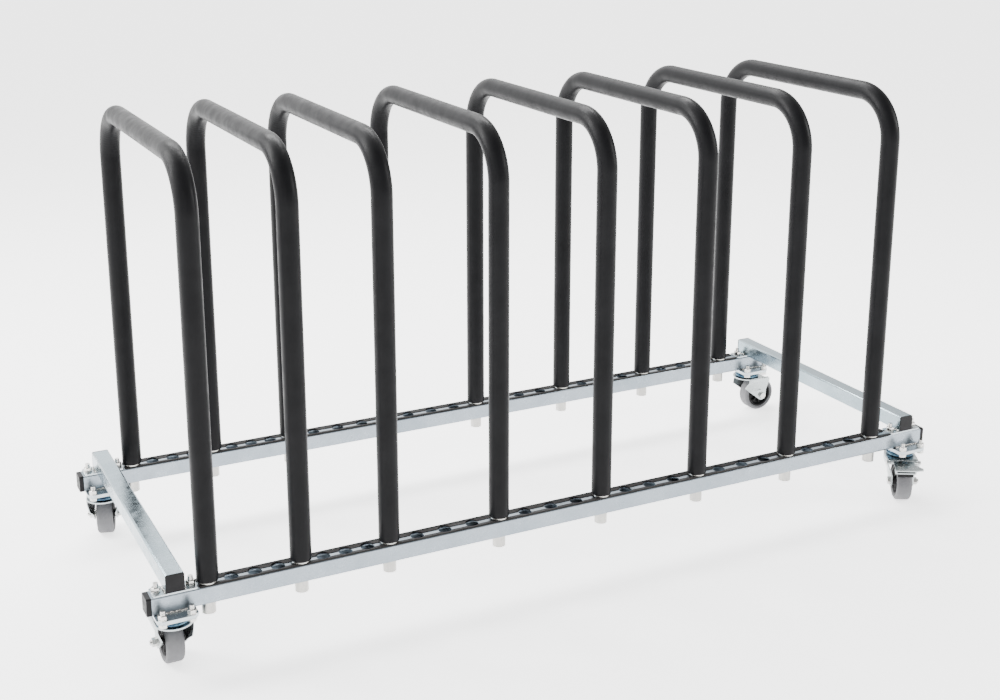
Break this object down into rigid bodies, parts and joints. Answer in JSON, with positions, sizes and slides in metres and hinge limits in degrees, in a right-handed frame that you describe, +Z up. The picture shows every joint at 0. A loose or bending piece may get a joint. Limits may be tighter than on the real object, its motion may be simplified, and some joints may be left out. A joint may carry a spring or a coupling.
{
  "type": "wheeled hoop rack",
  "caption": "Wheeled rack: two drilled square rails on swivel casters carry a row of lift-out sleeved hoops; whatever is stored stands in the bays between the hoops.",
  "frame": {"origin": "floor level, middle of the footprint with the wheels as they stand", "axes": "+X along the rails, towards the end with the wide bays; -Y front, the side of the braked wheel; +Z up"},
  "size_m": [1.5686, 0.6482, 0.8225],
  "materials": {
    "zinc_tube": "bright zinc plating, faintly blue",
    "zinc_plate": "bright zinc plating",
    "zinc_fastener": "bright zinc plating",
    "hoop_zinc": "bright zinc plating",
    "caster_zinc": "bright zinc plating on pressed steel",
    "dark_steel": "dark blued steel",
    "ball_steel": "polished steel",
    "sleeve_rubber": "satin black soft sleeve",
    "strip_rubber": "matt black rubber",
    "cap_plastic": "matt black moulded plastic",
    "hub_plastic": "black moulded plastic",
    "wheel_tyre": "grey non-marking rubber",
    "shoe_rubber": "black rubber"
  },
  "bodies": {
    "frame": {"front_rail": "zinc_tube", "rear_rail": "zinc_tube", "rubber_strips": "strip_rubber", "rail_end_caps": "cap_plastic", "left_cross_tube": "zinc_tube", "right_cross_tube": "zinc_tube", "cross_tube_end_caps": "cap_plastic", "base_plates": "zinc_plate", "corner_studs": "zinc_fastener", "corner_nuts": "zinc_fastener", "caster_mounting_plates": "zinc_plate", "caster_bolts": "zinc_fastener", "caster_nuts": "zinc_fastener", "front_left_top_plate": "caster_zinc", "front_left_kingpin": "dark_steel", "front_left_bearing_balls": "ball_steel", "front_right_top_plate": "caster_zinc", "front_right_kingpin": "dark_steel", "front_right_bearing_balls": "ball_steel", "rear_left_top_plate": "caster_zinc", "rear_left_kingpin": "dark_steel", "rear_left_bearing_balls": "ball_steel", "rear_right_top_plate": "caster_zinc", "rear_right_kingpin": "dark_steel", "rear_right_bearing_balls": "ball_steel"},
    "hoop_1": {"hoop_tube_1": "hoop_zinc", "hoop_sleeve_1": "sleeve_rubber"},
    "hoop_2": {"hoop_tube_2": "hoop_zinc", "hoop_sleeve_2": "sleeve_rubber"},
    "hoop_3": {"hoop_tube_3": "hoop_zinc", "hoop_sleeve_3": "sleeve_rubber"},
    "hoop_4": {"hoop_tube_4": "hoop_zinc", "hoop_sleeve_4": "sleeve_rubber"},
    "hoop_5": {"hoop_tube_5": "hoop_zinc", "hoop_sleeve_5": "sleeve_rubber"},
    "hoop_6": {"hoop_tube_6": "hoop_zinc", "hoop_sleeve_6": "sleeve_rubber"},
    "hoop_7": {"hoop_tube_7": "hoop_zinc", "hoop_sleeve_7": "sleeve_rubber"},
    "hoop_8": {"hoop_tube_8": "hoop_zinc", "hoop_sleeve_8": "sleeve_rubber"},
    "front_left_swivel": {"front_left_fork": "caster_zinc", "front_left_axle": "zinc_fastener"},
    "front_left_wheel": {"front_left_hub": "hub_plastic", "front_left_tyre": "wheel_tyre"},
    "front_right_swivel": {"front_right_fork": "caster_zinc", "front_right_axle": "zinc_fastener", "brake_pin": "zinc_fastener"},
    "front_right_wheel": {"front_right_hub": "hub_plastic", "front_right_tyre": "wheel_tyre"},
    "rear_left_swivel": {"rear_left_fork": "caster_zinc", "rear_left_axle": "zinc_fastener"},
    "rear_left_wheel": {"rear_left_hub": "hub_plastic", "rear_left_tyre": "wheel_tyre"},
    "rear_right_swivel": {"rear_right_fork": "caster_zinc", "rear_right_axle": "zinc_fastener"},
    "rear_right_wheel": {"rear_right_hub": "hub_plastic", "rear_right_tyre": "wheel_tyre"},
    "brake": {"brake_pedal": "caster_zinc", "brake_shoe": "shoe_rubber"}
  },
  "joints": [
    {"name": "hoop_1_lift", "type": "slide", "parent": "frame", "child": "hoop_1", "axis": [0, 0, 1], "range_m": [0, 0.08]},
    {"name": "hoop_2_lift", "type": "slide", "parent": "frame", "child": "hoop_2", "axis": [0, 0, 1], "range_m": [0, 0.08]},
    {"name": "hoop_3_lift", "type": "slide", "parent": "frame", "child": "hoop_3", "axis": [0, 0, 1], "range_m": [0, 0.08]},
    {"name": "hoop_4_lift", "type": "slide", "parent": "frame", "child": "hoop_4", "axis": [0, 0, 1], "range_m": [0, 0.08]},
    {"name": "hoop_5_lift", "type": "slide", "parent": "frame", "child": "hoop_5", "axis": [0, 0, 1], "range_m": [0, 0.08]},
    {"name": "hoop_6_lift", "type": "slide", "parent": "frame", "child": "hoop_6", "axis": [0, 0, 1], "range_m": [0, 0.08]},
    {"name": "hoop_7_lift", "type": "slide", "parent": "frame", "child": "hoop_7", "axis": [0, 0, 1], "range_m": [0, 0.08]},
    {"name": "hoop_8_lift", "type": "slide", "parent": "frame", "child": "hoop_8", "axis": [0, 0, 1], "range_m": [0, 0.08]},
    {"name": "front_left_swivel_turn", "type": "hinge", "parent": "frame", "child": "front_left_swivel", "pos_m": [-0.74125, -0.25162, 0.09], "axis": [0, 0, 1], "continuous": true},
    {"name": "front_left_wheel_roll", "type": "hinge", "parent": "front_left_swivel", "child": "front_left_wheel", "pos_m": [-0.74125, -0.22362, 0.0375], "axis": [-1, 0, 0], "continuous": true},
    {"name": "front_right_swivel_turn", "type": "hinge", "parent": "frame", "child": "front_right_swivel", "pos_m": [0.71875, -0.25162, 0.09], "axis": [0, 0, 1], "continuous": true},
    {"name": "front_right_wheel_roll", "type": "hinge", "parent": "front_right_swivel", "child": "front_right_wheel", "pos_m": [0.70475, -0.27587, 0.0375], "axis": [0.866, -0.5, 0], "continuous": true},
    {"name": "rear_left_swivel_turn", "type": "hinge", "parent": "frame", "child": "rear_left_swivel", "pos_m": [-0.74125, 0.25838, 0.09], "axis": [0, 0, 1], "continuous": true},
    {"name": "rear_left_wheel_roll", "type": "hinge", "parent": "rear_left_swivel", "child": "rear_left_wheel", "pos_m": [-0.73353, 0.2853, 0.0375], "axis": [-0.9613, 0.2756, 0], "continuous": true},
    {"name": "rear_right_swivel_turn", "type": "hinge", "parent": "frame", "child": "rear_right_swivel", "pos_m": [0.71875, 0.25838, 0.09], "axis": [0, 0, 1], "continuous": true},
    {"name": "rear_right_wheel_roll", "type": "hinge", "parent": "rear_right_swivel", "child": "rear_right_wheel", "pos_m": [0.74675, 0.25838, 0.0375], "axis": [0, 1, 0], "continuous": true},
    {"name": "brake_press", "type": "hinge", "parent": "front_right_swivel", "child": "brake", "pos_m": [0.7005, -0.28323, 0.079], "axis": [0.866, -0.5, 0], "range_deg": [0, 6]}
  ]
}
